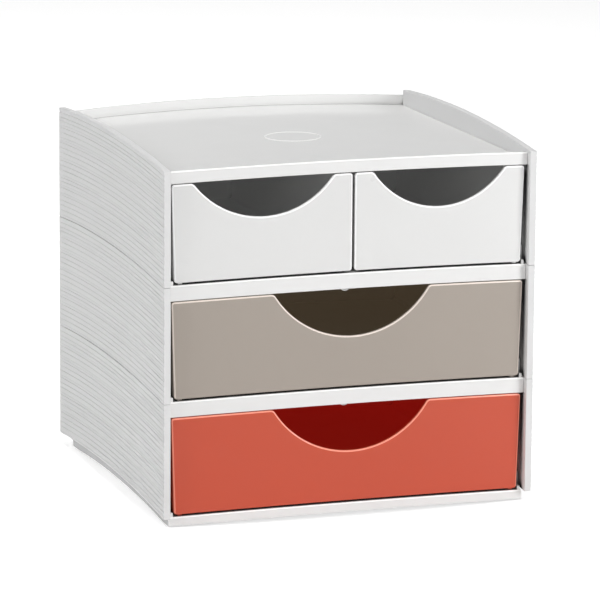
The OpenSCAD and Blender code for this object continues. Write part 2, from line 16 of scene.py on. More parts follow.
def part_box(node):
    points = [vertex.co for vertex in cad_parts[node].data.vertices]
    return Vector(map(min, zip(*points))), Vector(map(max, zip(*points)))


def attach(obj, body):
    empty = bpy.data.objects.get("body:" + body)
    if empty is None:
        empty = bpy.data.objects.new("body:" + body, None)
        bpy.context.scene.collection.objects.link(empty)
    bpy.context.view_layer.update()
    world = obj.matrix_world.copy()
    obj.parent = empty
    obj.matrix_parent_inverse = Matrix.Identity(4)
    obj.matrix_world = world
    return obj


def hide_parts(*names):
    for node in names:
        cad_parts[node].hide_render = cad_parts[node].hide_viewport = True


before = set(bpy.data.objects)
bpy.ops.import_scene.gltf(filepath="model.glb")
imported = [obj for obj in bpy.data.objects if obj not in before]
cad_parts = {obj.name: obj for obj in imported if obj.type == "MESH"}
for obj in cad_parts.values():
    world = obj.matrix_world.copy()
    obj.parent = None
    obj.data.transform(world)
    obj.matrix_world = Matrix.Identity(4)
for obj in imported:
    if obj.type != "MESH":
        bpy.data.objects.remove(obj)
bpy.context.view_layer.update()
MM = 0.001

# %% [markdown]
# ## Driving sizes
# The overall places come from the frame: a side panel gives the width and the depth, a shelf and a back
# panel give the crests of the two bows, and two drawers give the height of a level. The rest are the sizes
# of single features, in millimetres as on a drawing, turned into metres once.

# %% Sizes of the casing
panel_low, panel_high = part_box("bottom_left_side")
HALF_WIDTH = -panel_low.x
Y_FRONT, Y_REAR = panel_low.y, panel_high.y
Y_MID = (Y_FRONT + Y_REAR) / 2
Y_CREST, Y_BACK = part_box("lower_shelf")[0].y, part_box("middle_back")[1].y
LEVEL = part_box("middle_drawer")[0].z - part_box("bottom_drawer")[0].z

# Height of the feet, then of the upright front edges.
FOOT = 0.6 * MM
FLOOR_EDGE, SHELF_EDGE, TRAY_EDGE = 6.4 * MM, 10.6 * MM, 8.5 * MM

# Thicknesses, the play between pieces, and the inset of the back on each side.
PLATE, SKIRT, BACK_WALL, PANEL = 2.4 * MM, 2.2 * MM, 2.5 * MM, 4.9 * MM
FIT, BACK_INSET = 0.2 * MM, 0.7 * MM

# How far the four big curves rise.
FRONT_BOW, FRONT_ARCH, BACK_BOW, SIDE_ARCH = 8.2 * MM, 3.1 * MM, 9.8 * MM, 5.4 * MM

IN_HALF = HALF_WIDTH - PANEL
SHELF_HALF = IN_HALF - FIT
BACK_HALF = HALF_WIDTH - BACK_INSET
RECESS = Y_CREST + FRONT_BOW - Y_FRONT


def shelf_top(level):
    """Height of the plate that carries a level, at its ends."""
    return FOOT + FLOOR_EDGE + level * LEVEL


def shelf_bottom(level):
    """Height of the lower side of that plate's front edge, at its ends."""
    return shelf_top(level) - SHELF_EDGE


print(f"width {2 * HALF_WIDTH:.4f}, depth {Y_REAR - Y_FRONT:.4f}, level {LEVEL:.4f}, recess {RECESS:.4f}")

# %% [markdown]
# ## The four big curves
# Nothing on this casing is quite flat. The front bows out towards the user and rises in a shallow arch,
# the back bows out, and the ribs of the sides rise towards half the depth. Each curve is one circle, given
# by its half chord and its rise.

# %% Curves
def bow_radius(half, rise):
    """Radius of the circle that rises so far over a chord of twice the half."""
    return (half * half + rise * rise) / (2 * rise)


R_FRONT = bow_radius(IN_HALF, FRONT_BOW)
R_ARCH = bow_radius(IN_HALF, FRONT_ARCH)
R_BACK = bow_radius(BACK_HALF, BACK_BOW) + BACK_WALL
R_SIDE = bow_radius((Y_REAR - Y_FRONT) / 2, SIDE_ARCH)


def arch(x):
    """How far the front arch stands above its ends at x."""
    return np.sqrt(R_ARCH**2 - x * x) - (R_ARCH - FRONT_ARCH)


def front_y(x, inset=0.0):
    """The bowed front face, moved back by inset."""
    return Y_CREST + R_FRONT - np.sqrt((R_FRONT - inset) ** 2 - x * x)


def back_y(x, inset=0.0):
    """The bowed back face, moved forward by inset."""
    return Y_BACK - R_BACK + np.sqrt((R_BACK - inset) ** 2 - x * x)


def side_rise(y, height):
    """Height of a side rib at depth y, where height is its height at the panel's ends."""
    return np.sqrt((R_SIDE + height) ** 2 - (y - Y_MID) ** 2) - R_SIDE + SIDE_ARCH


print(f"radii: front {R_FRONT:.3f}, arch {R_ARCH:.3f}, back {R_BACK:.3f}, side {R_SIDE:.3f} m")

# %% [markdown]
# ## Camera
# A long lens from the front left, a little above the tray. It comes early, because it decides how much
# detail the pieces need.

# %% Camera
VIEW_AZIMUTH, VIEW_ELEVATION, VIEW_ROLL = (math.radians(a) for a in (-18.725, 12.371, 0.436))
VIEW_TARGET = Vector((6.95, -3.00, 122.21)) * MM
VIEW_DISTANCE = 3279.7 * MM
view = Matrix.Rotation(VIEW_AZIMUTH, 4, "Z") @ Matrix.Rotation(math.pi / 2 - VIEW_ELEVATION, 4, "X")
view = view @ Matrix.Rotation(VIEW_ROLL, 4, "Z")
camera = bpy.data.objects.new("camera", bpy.data.cameras.new("camera"))
camera.data.sensor_width = 36
camera.data.lens = 281.58
camera.data.clip_end = 20
eye = VIEW_TARGET + view.to_3x3() @ Vector((0, 0, VIEW_DISTANCE))
camera.matrix_world = Matrix.Translation(eye) @ view
bpy.context.scene.collection.objects.link(camera)
bpy.context.scene.camera = camera
print("camera at", [round(c, 3) for c in camera.matrix_world.translation])

# %% [markdown]
# ## Shader maths
# Materials are easier to read as formulas than as boxes and wires. A `Value` wraps one output socket, and
# its operators add Math nodes, so `1 - mask * 0.3` builds the nodes that compute it. `Shader.node` makes
# any other node.

# %% A small language for shader nodes
class Value:
    """One output socket, on which arithmetic adds Math nodes."""

    def __init__(self, shader, socket):
        self.shader, self.socket = shader, socket

    def _math(self, operation, first, second):
        return self.shader.node("ShaderNodeMath", {"operation": operation}, {0: first, 1: second})

    def __add__(self, other):
        return self._math("ADD", self, other)

    def __mul__(self, other):
        return self._math("MULTIPLY", self, other)

    def __sub__(self, other):
        return self._math("SUBTRACT", self, other)

    def __rsub__(self, other):
        return self._math("SUBTRACT", other, self)

    __radd__, __rmul__ = __add__, __mul__

    def map(self, low, high, to_low, to_high):
        """Maps low..high to to_low..to_high, clamped."""
        return self.shader.node("ShaderNodeMapRange", {"clamp": True}, {
            "Value": self, "From Min": low, "From Max": high, "To Min": to_low, "To Max": to_high})


class Shader:
    """A material, its node tree and its Principled shader."""

    def __init__(self, name, **constants):
        self.material = bpy.data.materials.new(name)
        self.material.use_nodes = True
        self.tree = self.material.node_tree
        self.surface = self.tree.nodes["Principled BSDF"]
        for socket, value in constants.items():
            self.surface.inputs[socket.replace("_", " ")].default_value = value

    def node(self, kind, settings=None, inputs=None, output=0):
        made = self.tree.nodes.new(kind)
        for key, value in (settings or {}).items():
            setattr(made, key, value)
        for key, value in (inputs or {}).items():
            self.feed(made.inputs[key], value)
        return Value(self, made.outputs[output])

    def feed(self, socket, value):
        if isinstance(value, Value):
            self.tree.links.new(value.socket, socket)
        else:
            socket.default_value = value

    def set(self, socket, value):
        self.feed(self.surface.inputs[socket], value)

    def noise(self, scale, detail):
        """Clouds that keep their place on the object."""
        place = self.node("ShaderNodeTexCoord", output="Object")
        return self.node("ShaderNodeTexNoise", {}, {"Vector": place, "Scale": scale, "Detail": detail})

    def openness(self, reach):
        """1 where a surface lies open, towards 0 in gaps that are narrower than reach."""
        return self.node("ShaderNodeAmbientOcclusion", {"samples": 8}, {"Distance": reach}, output=1)

    def ray(self, kind):
        """1 for rays of a kind, such as Camera or Glossy, and 0 for all others."""
        return self.node("ShaderNodeLightPath", output=f"Is {kind} Ray")

    def mix(self, factor, a, b):
        return self.node("ShaderNodeMix", {"data_type": "RGBA"}, {0: factor, 6: a, 7: b}, output=2)


def srgb(r, g, b):
    """A colour given as 0..255 on a screen, as the linear values that shaders take."""
    shares = (r / 255, g / 255, b / 255)
    return tuple(c / 12.92 if c <= 0.04045 else ((c + 0.055) / 1.055) ** 2.4 for c in shares) + (1.0,)


def dimmed(colour, part):
    """A colour with its red, green and blue multiplied by part."""
    return tuple(c * part for c in colour[:3]) + (1.0,)


print("white plastic is", [round(c, 3) for c in srgb(236, 236, 235)])

# %% [markdown]
# ## Moulded plastic
# Injection-moulded polystyrene is glossy but never a mirror: the steel mould leaves a faint orange peel,
# and the colour clouds a little where the melt flowed. So each plastic has a slow colour cloud, a
# wandering roughness and a very shallow bump.
#
# Rounded edges get a painted highlight: a lighter colour and a faint glowing emission where the rims
# would catch the light. The mesh attribute "rim" marks them: 1 paints that highlight and polishes the
# surface, and -1 marks faces inside the drawers or in the shade of the sides, which get painted shade.
# Ambient occlusion with a short reach paints shade into narrow gaps, which keeps the joints crisp. The
# ribbed sides come from a blasted mould: rougher, with a fine grain.

# %% Plastics
# Reach of the ambient occlusion that paints shade into narrow gaps.
GAP_REACH = 5 * MM
CLOUD_DEPTH, INNER_SHADE = 0.965, 0.03
BLACK = (0, 0, 0, 1)


def plastic(name, colour, rim, roughness=0.3, peel=0.003, grain=700, specular=0.5, gap_painted_shade=0.05, painted_shade_shift=0.0,
            painted_rim_glow=0.22, painted_glow=BLACK, inner=None):
    """Moulded plastic: its colour, the painted highlight colour of its rounded edges, and its surface.

    Painted shade: in narrow gaps the colour falls to its share `gap_painted_shade`, and to nearly nothing
    on inner faces, marked -1. Those get painted light as an emission in the colour `painted_glow`, may have
    a painted shade colour `inner`, and `painted_shade_shift` makes them count as less open, which deepens
    their painted shade. Rims keep their painted highlight in gaps and add a painted emission by the share
    `painted_rim_glow`.
    """
    shader = Shader(name, Roughness=roughness, IOR=1.5, Specular_IOR_Level=specular, Emission_Strength=1)
    edge = shader.node("ShaderNodeAttribute", {"attribute_name": "rim"}, output=2)
    inside = edge * -1

    cloud = shader.noise(7, 2).map(0.2, 0.8, 0, 1)
    clouded = shader.mix(cloud, colour, dimmed(colour, CLOUD_DEPTH))
    # Rims take their painted highlight colour; inner faces take the painted shade colour `inner`.
    open_colour = shader.mix(edge, shader.mix(inside, clouded, inner or colour), rim)
    # Painted shade: the colour for narrow gaps and, darker still, for inner faces.
    shade = shader.mix(inside, dimmed(colour, gap_painted_shade), dimmed(colour, INNER_SHADE))
    # Ambient occlusion places the painted shade; rims keep their highlight, inner faces count as less open.
    lift = edge.map(0, 1, 0, 0.3) - edge.map(-1, 0, painted_shade_shift, 0)
    light = (shader.openness(GAP_REACH) + lift).map(0.1, 0.45, 0, 1)
    shader.set("Base Color", shader.mix(light, shade, open_colour))
    # Painted emission: rims give off part of their highlight colour, inner faces the painted light
    # `painted_glow`.
    shader.set("Emission Color", shader.mix(edge, shader.mix(inside, BLACK, painted_glow), dimmed(rim, painted_rim_glow)))

    wander = shader.noise(45, 2).map(0.1, 0.9, -0.04, 0.04)
    shader.set("Roughness", wander + roughness - edge * (roughness * 0.4))
    relief = shader.noise(grain, 2) + shader.noise(grain / 9, 1) * 3
    shader.set("Normal", shader.node("ShaderNodeBump", {}, {
        "Strength": 0.5, "Distance": peel * MM, "Height": relief}))
    return shader.material


# Second colour: the painted highlight of the rims. Casing's inner grey: painted shade on plinth and rails.
CASING = plastic(
    "casing_white_plastic", srgb(243, 243, 242), srgb(253, 253, 252), roughness=0.12, peel=0.001,
    specular=0.4, inner=srgb(188, 188, 188))
# The ribbed sides get little painted shade in gaps and more on their inner faces.
SIDES = plastic(
    "ribbed_side_plastic", srgb(228, 228, 228), srgb(236, 236, 236), roughness=0.5, grain=1500,
    specular=0.35, gap_painted_shade=0.8, painted_shade_shift=0.4, painted_rim_glow=0)
# The faces inside each drawer emit a faint painted light in the drawer's own colour.
WHITE = plastic(
    "white_drawer_plastic", srgb(236, 236, 235), srgb(254, 254, 254), painted_glow=(0.012, 0.012, 0.012, 1))
TAUPE = plastic(
    "taupe_drawer_plastic", srgb(173, 163, 153), srgb(236, 224, 214), roughness=0.34,
    painted_glow=(0.025, 0.019, 0.012, 1))
CORAL = plastic(
    "coral_drawer_plastic", srgb(207, 81, 53), srgb(250, 160, 138), roughness=0.34,
    painted_glow=(0.08, 0.003, 0.002, 1))
RUBBER = plastic(
    "foot_rubber", srgb(60, 60, 62), srgb(70, 70, 72), roughness=0.8, peel=0.02, grain=1200, specular=0.3)
print("materials:", len(bpy.data.materials))

# %% [markdown]
# ## Making clean meshes
# Boxes with boolean cuts would be quicker to write, but their long thin faces shade badly on bowed plates.
# So the large forms are made in two ways. A *sweep* carries one closed section through a row of places and
# closes the ends: a shelf, a panel, a tub. A *capped ring stack* joins two grids of quads by rings of
# quads round their edge: a drawer front, or a tub's rear wall. Both shade evenly.

# %% Sweep and ring stack
def sweep(sections, rim):
    """Points, faces and rim marks of a closed section carried through several places, with closed ends."""
    count, size = len(sections), len(sections[0])
    faces = [
        (i * size + j, i * size + (j + 1) % size, (i + 1) * size + (j + 1) % size, (i + 1) * size + j)
        for i in range(count - 1)
        for j in range(size)
    ]
    faces.append(tuple(range(size)))
    faces.append(tuple((count - 1) * size + j for j in range(size)))
    return np.concatenate(sections), faces, np.tile(rim, count)


def rim_index(columns, rows):
    """Indices, in a grid of (columns + 1) x (rows + 1) points, that go once round its edge."""
    at = lambda i, j: i * (rows + 1) + j
    return (
        [at(i, 0) for i in range(columns)]
        + [at(columns, j) for j in range(rows)]
        + [at(i, rows) for i in range(columns, 0, -1)]
        + [at(0, j) for j in range(rows, 0, -1)]
    )


def capped_rings(first, rings, last, bright=(), painted_glow=0.0):
    """Points, faces and rim marks of two grids, joined by rings of quads round their edge.

    Each grid is (columns + 1, rows + 1, 3). bright holds the numbers of the rings that are marked as a
    rounded rim with a painted highlight, and glow the marks of one such ring.
    """
    columns, rows = first.shape[0] - 1, first.shape[1] - 1
    points = [first.reshape(-1, 3), *rings, last.reshape(-1, 3)]
    marks = [np.zeros(len(p)) + (painted_glow if k - 1 in bright else 0) for k, p in enumerate(points)]
    starts = np.cumsum([0] + [len(p) for p in points])
    quads = [
        (i * (rows + 1) + j, (i + 1) * (rows + 1) + j, (i + 1) * (rows + 1) + j + 1,
         i * (rows + 1) + j + 1)
        for i in range(columns)
        for j in range(rows)
    ]
    faces = quads + [tuple(starts[-2] + k for k in q) for q in quads]
    rim = rim_index(columns, rows)
    loops = [rim]
    loops += [list(range(starts[k + 1], starts[k + 2])) for k in range(len(rings))]
    loops += [[starts[-2] + k for k in rim]]
    for low, high in zip(loops, loops[1:]):
        faces += [
            (low[k], low[(k + 1) % len(low)], high[(k + 1) % len(low)], high[k]) for k in range(len(low))
        ]
    return np.concatenate(points), faces, np.concatenate(marks)


print("a grid of 2 x 2 faces has", len(rim_index(2, 2)), "points on its edge")

# %% [markdown]
# ## Grids between edge lines
# The grid of a front has to follow four curved edges. A flat grid that is cut to shape would leave odd
# faces along them. Here each inner point is blended from the four edge lines instead, so all faces stay
# quads.

# %% Grids
def share(line):
    """How far along a line each of its points lies, from 0 to 1."""
    steps = np.linalg.norm(np.diff(line, axis=0), axis=1)
    return np.concatenate([[0], np.cumsum(steps)]) / steps.sum()


def patch(rim, columns, rows):
    """A grid that fills a closed rim, blended from the rim's four edge lines."""
    closed = np.vstack([rim, rim[:1]])
    a, b, c = columns, columns + rows, 2 * columns + rows
    bottom, right = closed[: a + 1], closed[a : b + 1]
    top, left = closed[b : c + 1][::-1], closed[c:][::-1]
    u = share(bottom)[:, None, None]
    v = ((share(left) + share(right)) / 2)[None, :, None]
    edges = (1 - v) * bottom[:, None] + v * top[:, None] + (1 - u) * left[None] + u * right[None]
    low_corners = (1 - u) * (1 - v) * bottom[0] + u * (1 - v) * bottom[-1]
    high_corners = (1 - u) * v * top[0] + u * v * top[-1]
    return edges - (low_corners + high_corners)


def inward(rim):
    """Unit normals that point into a closed flat outline which runs counterclockwise."""
    along = np.roll(rim, -1, 0) - np.roll(rim, 1, 0)
    normal = np.stack([-along[:, 1], along[:, 0]], 1)
    return normal / np.linalg.norm(normal, axis=1, keepdims=True)


def layers(rim, columns, rows, place):
    """Two functions: the rim set in and laid at a depth, as a ring and as the grid that fills it."""
    flat = lambda inset: rim + inward(rim) * inset
    ring = lambda inset, depth: place(flat(inset), depth)
    face = lambda inset, depth: place(patch(flat(inset), columns, rows), depth)
    return ring, face


def quarter(radius, *angles):
    """How far a rounded edge is set in and how deep it lies, at some of its angles in degrees."""
    return [(radius * (1 - math.cos(a)), radius * (1 - math.sin(a))) for a in np.radians(angles)]


print("grid helpers ready")

# %% [markdown]
# ## From shells to a piece
# Overlapping closed shells look like one moulding once they share an object and a material, which spares a
# boolean union. Edges sharper than the crease angle stay crisp, and weighted normals keep large faces
# flat.

# %% Pieces and bars
CREASE = math.radians(35)
BAR_SEGMENTS = 2


def piece(name, shells, material, body, stands_for):
    """One object from several closed shells, which rides on a body in place of CAD nodes."""
    mesh = bpy.data.meshes.new(name)
    points, faces, marks, start = [], [], [], 0
    for shell_points, shell_faces, shell_marks in shells:
        points.append(np.asarray(shell_points, float))
        marks.append(shell_marks)
        faces += [tuple(int(i) + start for i in f) for f in shell_faces]
        start += len(shell_points)
    mesh.from_pydata(np.concatenate(points).tolist(), [], faces)
    rim = mesh.attributes.new("rim", "FLOAT", "POINT")
    rim.data.foreach_set("value", np.concatenate(marks).astype(np.float32))
    work = bmesh.new()
    work.from_mesh(mesh)
    bmesh.ops.recalc_face_normals(work, faces=work.faces)
    work.to_mesh(mesh)
    work.free()
    mesh.shade_smooth()
    mesh.set_sharp_from_angle(angle=CREASE)
    made = bpy.data.objects.new(name, mesh)
    bpy.context.scene.collection.objects.link(made)
    mesh.materials.append(material)
    weigh = made.modifiers.new("large_faces_stay_flat", "WEIGHTED_NORMAL")
    weigh.keep_sharp = True
    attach(made, body)
    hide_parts(*stands_for)
    print(f"{name}: {len(mesh.vertices)} points, {len(mesh.polygons)} faces")


def bar(low, high, radius):
    """A block between two corners with rounded edges, as a shell."""
    work = bmesh.new()
    bmesh.ops.create_cube(work, size=1)
    low, high = Vector(low), Vector(high)
    for v in work.verts:
        v.co = Vector((low[k] if v.co[k] < 0 else high[k]) for k in range(3))
    bmesh.ops.bevel(
        work, geom=work.edges[:], offset=radius, segments=BAR_SEGMENTS, affect="EDGES", profile=0.5)
    work.verts.index_update()
    points = [tuple(v.co) for v in work.verts]
    faces = [tuple(v.index for v in f.verts) for f in work.faces]
    work.free()
    return points, faces, np.zeros(len(points))


print("crease angle", round(math.degrees(CREASE)), "degrees")

# %% [markdown]
# ## Rounded outlines
# No edge of a moulding is sharp. A bevel modifier would round them too, but it can't mark the rims that get
# a painted highlight. So each section is drawn with its arcs, and a corner says whether it is a marked rim.

# %% Rounded outlines
SHADED = -1.0
RIM_FADE = 0.3 * MM


def rounded_corner(corner, before, after, radius, steps=4):
    """Points of the arc that rounds a corner of a flat outline."""
    corner, before, after = (np.asarray(p, float) for p in (corner, before, after))
    u, v = before - corner, after - corner
    u, v = u / np.linalg.norm(u), v / np.linalg.norm(v)
    half = math.acos(np.clip(u @ v, -1, 1)) / 2
    middle = (u + v) / np.linalg.norm(u + v)
    centre = corner + middle * radius / math.sin(half)
    start = corner + u * radius / math.tan(half) - centre
    end = corner + v * radius / math.tan(half) - centre
    part = np.linspace(0, 1, steps + 1)[:, None]
    turn = math.pi - 2 * half
    arc = (np.sin((1 - part) * turn) * start + np.sin(part * turn) * end) / math.sin(turn)
    return centre + arc


def rounded_outline(corners):
    """A closed outline and its rim marks, from corners as (x, y, radius) or, at marked rims, (…, True).

    A radius of 0 keeps a corner sharp. A rim's painted highlight mark fades out on each side of its arc.
    """
    points = [np.array(c[:2], float) for c in corners]
    out, marks = [], []
    for k, (_, _, radius, *marked) in enumerate(corners):
        before, after = points[k - 1], points[(k + 1) % len(points)]
        if not radius:
            out.append(points[k][None])
            marks += [0.0]
            continue
        turn = rounded_corner(points[k], before, after, radius)
        if any(marked):
            fade = [turn[i] + (p - turn[i]) * RIM_FADE / np.linalg.norm(p - turn[i])
                    for i, p in ((0, before), (-1, after))]
            out += [fade[0][None], turn, fade[1][None]]
            marks += [0.0] + [1.0] * len(turn) + [0.0]
        else:
            out.append(turn)
            marks += [0.0] * len(turn)
    return np.concatenate(out), np.array(marks)


print("a rounded corner has", len(rounded_corner((0, 0), (9, 0), (0, 9), 1)), "points")

# %% [markdown]
# ## Ribbed side panels
# Each side is three panels, one per level, with 27 ribs each. The ribs have three widths in an uneven
# rhythm, like a stack of paper. The section is drawn once, with each rib's edges rounded, and swept along
# the shallow arch from front to rear. An array of one rib could not follow the uneven widths, so a short
# pattern string gives them.

# %% Side panels
RIB_PATTERN = "nwwwwnwnmmnwwwnwwwnnwwnmmww"
RIB_SHARE = {"w": 1.0, "m": 0.75, "n": 0.57}
RIB_GROOVE, RIB_STEP, GROOVE_WIDTH, GROOVE_FLOOR = 0.45 * MM, 0.2 * MM, 0.9 * MM, (0.35, 0.65)
RIB_ROUND, PANEL_ROUND, PANEL_END_ROUND = 0.3 * MM, 0.6 * MM, 0.25 * MM
SEAM, TOP_TRIM = 0.5 * MM, 0.4 * MM
PANEL_HEIGHT = LEVEL - SEAM

# The inner face gets painted shade beside the drawer, up to where the shelf's front edge begins.
BESIDE_EDGE = LEVEL - SHELF_EDGE
SHADE_STEP, ON_FACE = 0.5 * MM, 0.1 * MM
# The last value is the painted highlight mark on a panel's end faces.
PANEL_END, PANEL_PLACES, PAINTED_END_HIGHLIGHT = 8 * MM, 25, 0.6


def panel_section(height):
    """Section of a side panel as (distance from the middle, height), counterclockwise."""
    unit = PANEL_HEIGHT / sum(RIB_SHARE[k] for k in RIB_PATTERN)
    corners = [
        (IN_HALF, height, PANEL_ROUND), (IN_HALF, BESIDE_EDGE, 0), (IN_HALF, BESIDE_EDGE - SHADE_STEP, 0),
        (IN_HALF, 0, PANEL_ROUND / 2)]
    low = 0.0
    for k, kind in enumerate(RIB_PATTERN):
        first, last = k == 0, k == len(RIB_PATTERN) - 1
        high = min(low + RIB_SHARE[kind] * unit, height)
        face = HALF_WIDTH - (RIB_STEP if kind == "n" else 0)
        bottom = low + (0 if first else GROOVE_WIDTH / 2)
        top = high - (0 if last else GROOVE_WIDTH / 2)
        corners.append((face, bottom, PANEL_ROUND / 2 if first else RIB_ROUND))
        corners.append((face, top, PANEL_ROUND if last else RIB_ROUND))
        if not last:
            corners += [(HALF_WIDTH - RIB_GROOVE, top + GROOVE_WIDTH * part, 0) for part in GROOVE_FLOOR]
        low = high
    return rounded_outline(corners)


def panel_shell(level, side):
    """A side panel of a level; side is -1 on the left and 1 on the right."""
    section, marks = panel_section(PANEL_HEIGHT - (TOP_TRIM if level == 2 else 0))
    inner = (section[:, 0] < IN_HALF + ON_FACE) & (section[:, 1] < BESIDE_EDGE - SHADE_STEP / 2)
    marks = np.where(inner, SHADED, marks)
    normals = inward(section)
    front = [(Y_FRONT + y, inset) for y, inset in quarter(PANEL_END_ROUND, 0, 30, 60, 90)]
    middle = [(y, 0) for y in np.linspace(Y_FRONT + PANEL_END, Y_REAR - PANEL_END, PANEL_PLACES)]
    rear = [(Y_FRONT + Y_REAR - y, inset) for y, inset in front[::-1]]
    sections = []
    for y, inset in front + middle + rear:
        flat = section + normals * inset
        height = shelf_top(level) + side_rise(y, flat[:, 1])
        sections.append(np.stack([side * flat[:, 0], np.full(len(flat), y), height], 1))
    points, faces, marks = sweep(sections, marks)
    size = len(section)
    behind = size * (len(front) + 1)
    # Behind the front, the inner face loses its painted shade mark.
    marks[behind:] = np.maximum(marks[behind:], 0)
    # Both end faces get a painted highlight.
    marks[:size] = marks[-size:] = PAINTED_END_HIGHLIGHT
    return points, faces, marks


LEVEL_NAMES = ("bottom", "middle", "top")
for side, side_name in ((-1, "left"), (1, "right")):
    for level, level_name in enumerate(LEVEL_NAMES):
        node = f"{level_name}_{side_name}_side"
        piece(f"{node}_ribbed", [panel_shell(level, side)], SIDES, "casing", [node])

# %% [markdown]
# ## Shelves
# A shelf is one moulding: a thin plate, an upright front edge that bows and arches, a rear edge that
# follows the back panel, flanges at the sides, lips that guide the drawers, and webs below. A bend
# modifier curves a plate one way only. Here the front edge and the plate are one section, carried across
# the width, with its depths measured from the bowed front or back.

# %% Sections that follow the bows
EDGE_ROUND, THIN_ROUND = 0.6 * MM, 0.3 * MM
PLACES_ACROSS = 61
ACROSS = np.linspace(-SHELF_HALF, SHELF_HALF, PLACES_ACROSS)
PLATE_REAR = BACK_WALL + FIT
BOWS = {"f": front_y, "b": back_y}


def at_x(x, flat):
    """A flat outline of (depth, height) points, placed at a distance x from the middle."""
    return np.stack([np.full(len(flat), x), flat[:, 0], flat[:, 1]], 1)


def across(outline, xs=ACROSS):
    """Sweep of an outline of (bow, depth, height, round, rim mark) corners over the width.

    The depth is measured from the bowed front ("f") or from the bowed back ("b").
    """
    sections = []
    for x in xs:
        corners = [(BOWS[bow](x, depth), height + arch(x), *rest) for bow, depth, height, *rest in outline]
        flat, marks = rounded_outline(corners)
        sections.append(at_x(x, flat))
    return sweep(sections, marks)


def plate_and_front(z_bottom, z_top, xs=ACROSS):
    """Plate with its upright front edge."""
    # The upper front edge is a marked rim with a painted highlight.
    return across([
        ("f", 0, z_bottom, THIN_ROUND), ("f", SKIRT, z_bottom, THIN_ROUND),
        ("f", SKIRT, z_top - PLATE, 0), ("b", PLATE_REAR, z_top - PLATE, THIN_ROUND),
        ("b", PLATE_REAR, z_top, THIN_ROUND), ("f", 0, z_top, EDGE_ROUND, True)], xs)


def rear_edge(z_bottom, z_top, top_round=THIN_ROUND):
    """Upright edge along the back panel."""
    return across([
        ("b", PLATE_REAR + SKIRT, z_bottom, THIN_ROUND), ("b", PLATE_REAR, z_bottom, THIN_ROUND),
        ("b", PLATE_REAR, z_top, top_round), ("b", PLATE_REAR + SKIRT, z_top, top_round)])


print("sections at", len(ACROSS), "places across")

# %% [markdown]
# ## Bars of the shelves
# Flanges, guide lips and webs are straight blocks with rounded edges, in mirrored pairs. Where faces of
# two shells would coincide, one stands back by a thin skin, because such faces render as dark specks.

# %% Flanges, lips and webs
SKIN = 0.03 * MM
FLANGE_X = SHELF_HALF - SKIRT
FLANGE_Y, FLANGE_END, FLANGE_RISE = Y_FRONT + 12 * MM, Y_REAR - 1 * MM, 12 * MM
GUIDE_X, GUIDE, GUIDE_HEIGHT, GUIDE_ROUND = 123.7 * MM, 2 * MM, 3.1 * MM, 0.5 * MM
WEB, WEB_X, WEB_LIFT = 1.6 * MM, (32 * MM, 96 * MM), 1.5 * MM
PEG_FLANGE = 5.3 * MM


def on_both_sides(low, high, radius=THIN_ROUND):
    """Two mirrored bars, given by the corners of the right one."""
    return [bar(low, high, radius), bar((-high[0], low[1], low[2]), (-low[0], high[1], high[2]), radius)]


def side_rails(z_low, z_high, z_bottom, z_top):
    """Side flanges, with a shorter stretch behind the front edge."""
    start = Y_FRONT + RECESS + SKIRT / 2
    end = (SHELF_HALF - 2 * SKIN, FLANGE_Y + MM, z_top - THIN_ROUND)
    long_bars = on_both_sides((FLANGE_X, FLANGE_Y, z_low), (SHELF_HALF - SKIN, FLANGE_END, z_high))
    return long_bars + on_both_sides((FLANGE_X, start, z_bottom), end)


def guide_lips(z_top):
    """Low lips that keep a level's outer drawer sides straight."""
    low = (GUIDE_X, front_y(GUIDE_X + GUIDE) + FIT, z_top - PLATE / 2)
    return on_both_sides(low, (GUIDE_X + GUIDE, FLANGE_END, z_top + GUIDE_HEIGHT), GUIDE_ROUND)


def webs(z_bottom, z_top, y_end):
    """Upright webs below a plate, two on each side."""
    shells = []
    for x in WEB_X:
        low = (x - WEB / 2, Y_FRONT + RECESS, z_bottom + WEB_LIFT)
        shells += on_both_sides(low, (x + WEB / 2, y_end, z_top + arch(x) - PLATE / 2))
    return shells


for level, name in ((1, "lower_shelf"), (2, "upper_shelf")):
    top, bottom = shelf_top(level), shelf_bottom(level)
    shells = [plate_and_front(bottom, top), rear_edge(bottom - PEG_FLANGE, top)]
    shells += side_rails(bottom - PEG_FLANGE, top + FLANGE_RISE, bottom, top)
    shells += guide_lips(top) + webs(bottom, top, Y_REAR)
    piece(f"{name}_moulding", shells, CASING, "casing", [name])

# %% [markdown]
# ## Floor with its plinth
# The lowest moulding stands on a plinth that is set in at the rear. Its side walls are cut in a shallow
# arch, so the unit rests near its corners only, on four round pads. The wall is swept with its lower edge
# on the arch, which leaves cleaner faces than a cut.

# %% Plinth
PLINTH_SHORT, PLINTH_ROUND, PLINTH_ARCH, FOOT_INSET = 12 * MM, 4 * MM, 4 * MM, 26 * MM
SIDE_PLACES, REAR_PLACES, CORNER_STEP = 41, 12, 15
PLINTH_END = Y_REAR - PLINTH_SHORT
plinth_start = Y_FRONT + RECESS + SKIRT / 2
arch_half = (Y_REAR - Y_FRONT - PLINTH_SHORT - RECESS) / 2 - FOOT_INSET / 2
arch_middle = Y_MID + (RECESS - PLINTH_SHORT) / 2
arch_radius = bow_radius(arch_half, PLINTH_ARCH)


def plinth_low(y):
    """Lower edge of the plinth's side walls."""
    inside = arch_radius**2 - (y - arch_middle) ** 2
    lift = PLINTH_ARCH - arch_radius + math.sqrt(max(inside, 0))
    return FOOT + max(0, lift)


